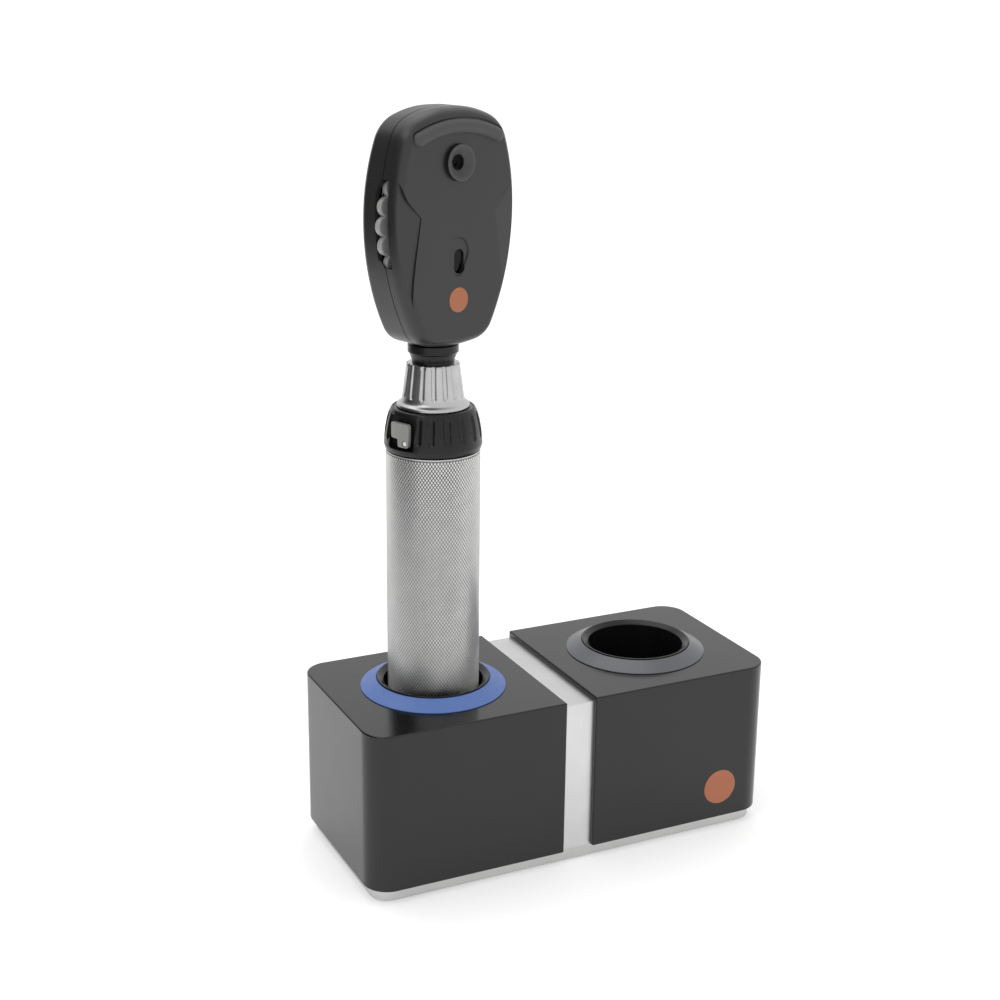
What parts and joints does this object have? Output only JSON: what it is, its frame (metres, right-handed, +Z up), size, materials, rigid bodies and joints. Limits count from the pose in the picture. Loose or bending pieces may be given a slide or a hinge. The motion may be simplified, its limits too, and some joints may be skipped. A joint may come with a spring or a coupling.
{
  "type": "ophthalmoscope with charging station",
  "caption": "Hand-held eye-examination instrument with a lens wheel head on a knurled rechargeable handle, standing in a table charging station with a spare well.",
  "frame": {"origin": "centre of the charging station's footprint, on the surface that its feet rest on", "axes": "+X along the charging station towards its empty well, +Y away from its front, +Z up along the handle"},
  "size_m": [0.147, 0.065, 0.2456],
  "materials": {
    "base_metal": "satin anodised",
    "strip_metal": "fine blasted and anodised",
    "knurled_metal": "diamond knurled, anodised",
    "polished_metal": "bright turned",
    "hood_paint": "satin",
    "ring_lit": "translucent, lit from below",
    "ring_unlit": "smoked satin",
    "black_plastic": "fine textured",
    "head_plastic": "soft fine texture",
    "soft_rubber": "matt",
    "foot_rubber": "matt",
    "grey_plastic": "satin",
    "button_plastic": "satin",
    "steel": "bright",
    "gold_contact": "bright plated",
    "circuit_board": "lacquered",
    "chip_black": "matt",
    "led_white": "clear over phosphor",
    "cell_wrap": "shrink sleeve",
    "clear_glass": "polished, coated",
    "mirror_glass": "front silvered",
    "green_glass": "polished",
    "window_plastic": "smoked"
  },
  "bodies": {
    "charger": {"base_plate": "base_metal", "rubber_feet": "foot_rubber", "base_screws": "steel", "left_hood": "hood_paint", "right_hood": "hood_paint", "centre_strip": "strip_metal", "left_light_ring": "ring_lit", "right_light_ring": "ring_unlit", "left_well_cup": "black_plastic", "right_well_cup": "black_plastic", "left_contact_ring": "gold_contact", "right_contact_ring": "gold_contact", "left_pin_spring": "steel", "right_pin_spring": "steel", "charger_board": "circuit_board", "board_parts": "chip_black", "ring_led_boards": "circuit_board", "ring_leds": "led_white", "power_inlet": "black_plastic"},
    "left_pin": {"left_contact_pin": "gold_contact"},
    "right_pin": {"right_contact_pin": "gold_contact"},
    "handle": {"handle_tube": "knurled_metal", "bottom_cap": "black_plastic", "bottom_stud": "gold_contact", "bottom_ring": "gold_contact", "battery": "cell_wrap", "battery_spring": "steel", "top_bush": "black_plastic", "control_board": "circuit_board", "head_socket": "polished_metal", "socket_pin": "gold_contact"},
    "dimmer": {"dimmer_ring": "black_plastic", "ring_contact": "gold_contact", "status_led": "led_white", "button_spring": "steel"},
    "button": {"release_button": "button_plastic"},
    "head": {"front_shell": "head_plastic", "rear_shell": "head_plastic", "seam_gasket": "soft_rubber", "chassis": "polished_metal", "brow_rest": "soft_rubber", "eyepiece_ring": "soft_rubber", "scale_window": "window_plastic", "neck_connector": "black_plastic", "connector_pin": "gold_contact", "lamp_led": "led_white", "lamp_holder": "polished_metal", "condenser_lens": "clear_glass", "beam_mirror": "mirror_glass", "rear_window_ring": "soft_rubber", "rear_window_glass": "clear_glass", "wheel_axle": "steel", "aperture_axle": "steel", "detent_spring": "steel", "shell_screws": "steel"},
    "lens_dial": {"lens_wheel": "grey_plastic", "wheel_lenses": "clear_glass"},
    "aperture_dial": {"aperture_wheel": "black_plastic"},
    "filter": {"filter_slide": "black_plastic", "filter_glass": "green_glass"}
  },
  "joints": [
    {"name": "instrument_lift", "type": "slide", "parent": "charger", "child": "handle", "axis": [0, 0, 1], "range_m": [0, 0.058]},
    {"name": "left_pin_press", "type": "slide", "parent": "charger", "child": "left_pin", "axis": [0, 0, -1], "range_m": [0, 0.0008], "stiffness_N_per_m": 200, "deforming": ["left_pin_spring"]},
    {"name": "right_pin_press", "type": "slide", "parent": "charger", "child": "right_pin", "axis": [0, 0, -1], "range_m": [0, 0.0008], "stiffness_N_per_m": 200, "deforming": ["right_pin_spring"]},
    {"name": "dimmer_turn", "type": "hinge", "parent": "handle", "child": "dimmer", "pos_m": [-0.0385, 0, 0.146], "axis": [0, 0, 1], "range_deg": [0, 110]},
    {"name": "button_press", "type": "slide", "parent": "dimmer", "child": "button", "axis": [0.9171, 0.3987, 0], "range_m": [0, 0.0006], "stiffness_N_per_m": 300, "deforming": ["button_spring"]},
    {"name": "head_twist", "type": "hinge", "parent": "handle", "child": "head", "pos_m": [-0.0385, 0, 0.165], "axis": [0, 0, 1], "range_deg": [0, 90]},
    {"name": "lens_wheel_turn", "type": "hinge", "parent": "head", "child": "lens_dial", "pos_m": [-0.0385, 0, 0.2115], "axis": [0.309, -0.9511, 0], "continuous": true},
    {"name": "aperture_turn", "type": "hinge", "parent": "head", "child": "aperture_dial", "pos_m": [-0.03872, 0.00067, 0.183], "axis": [0, 0, 1], "continuous": true},
    {"name": "filter_shift", "type": "slide", "parent": "head", "child": "filter", "axis": [0.9511, 0.309, 0], "range_m": [0, 0.005]}
  ]
}
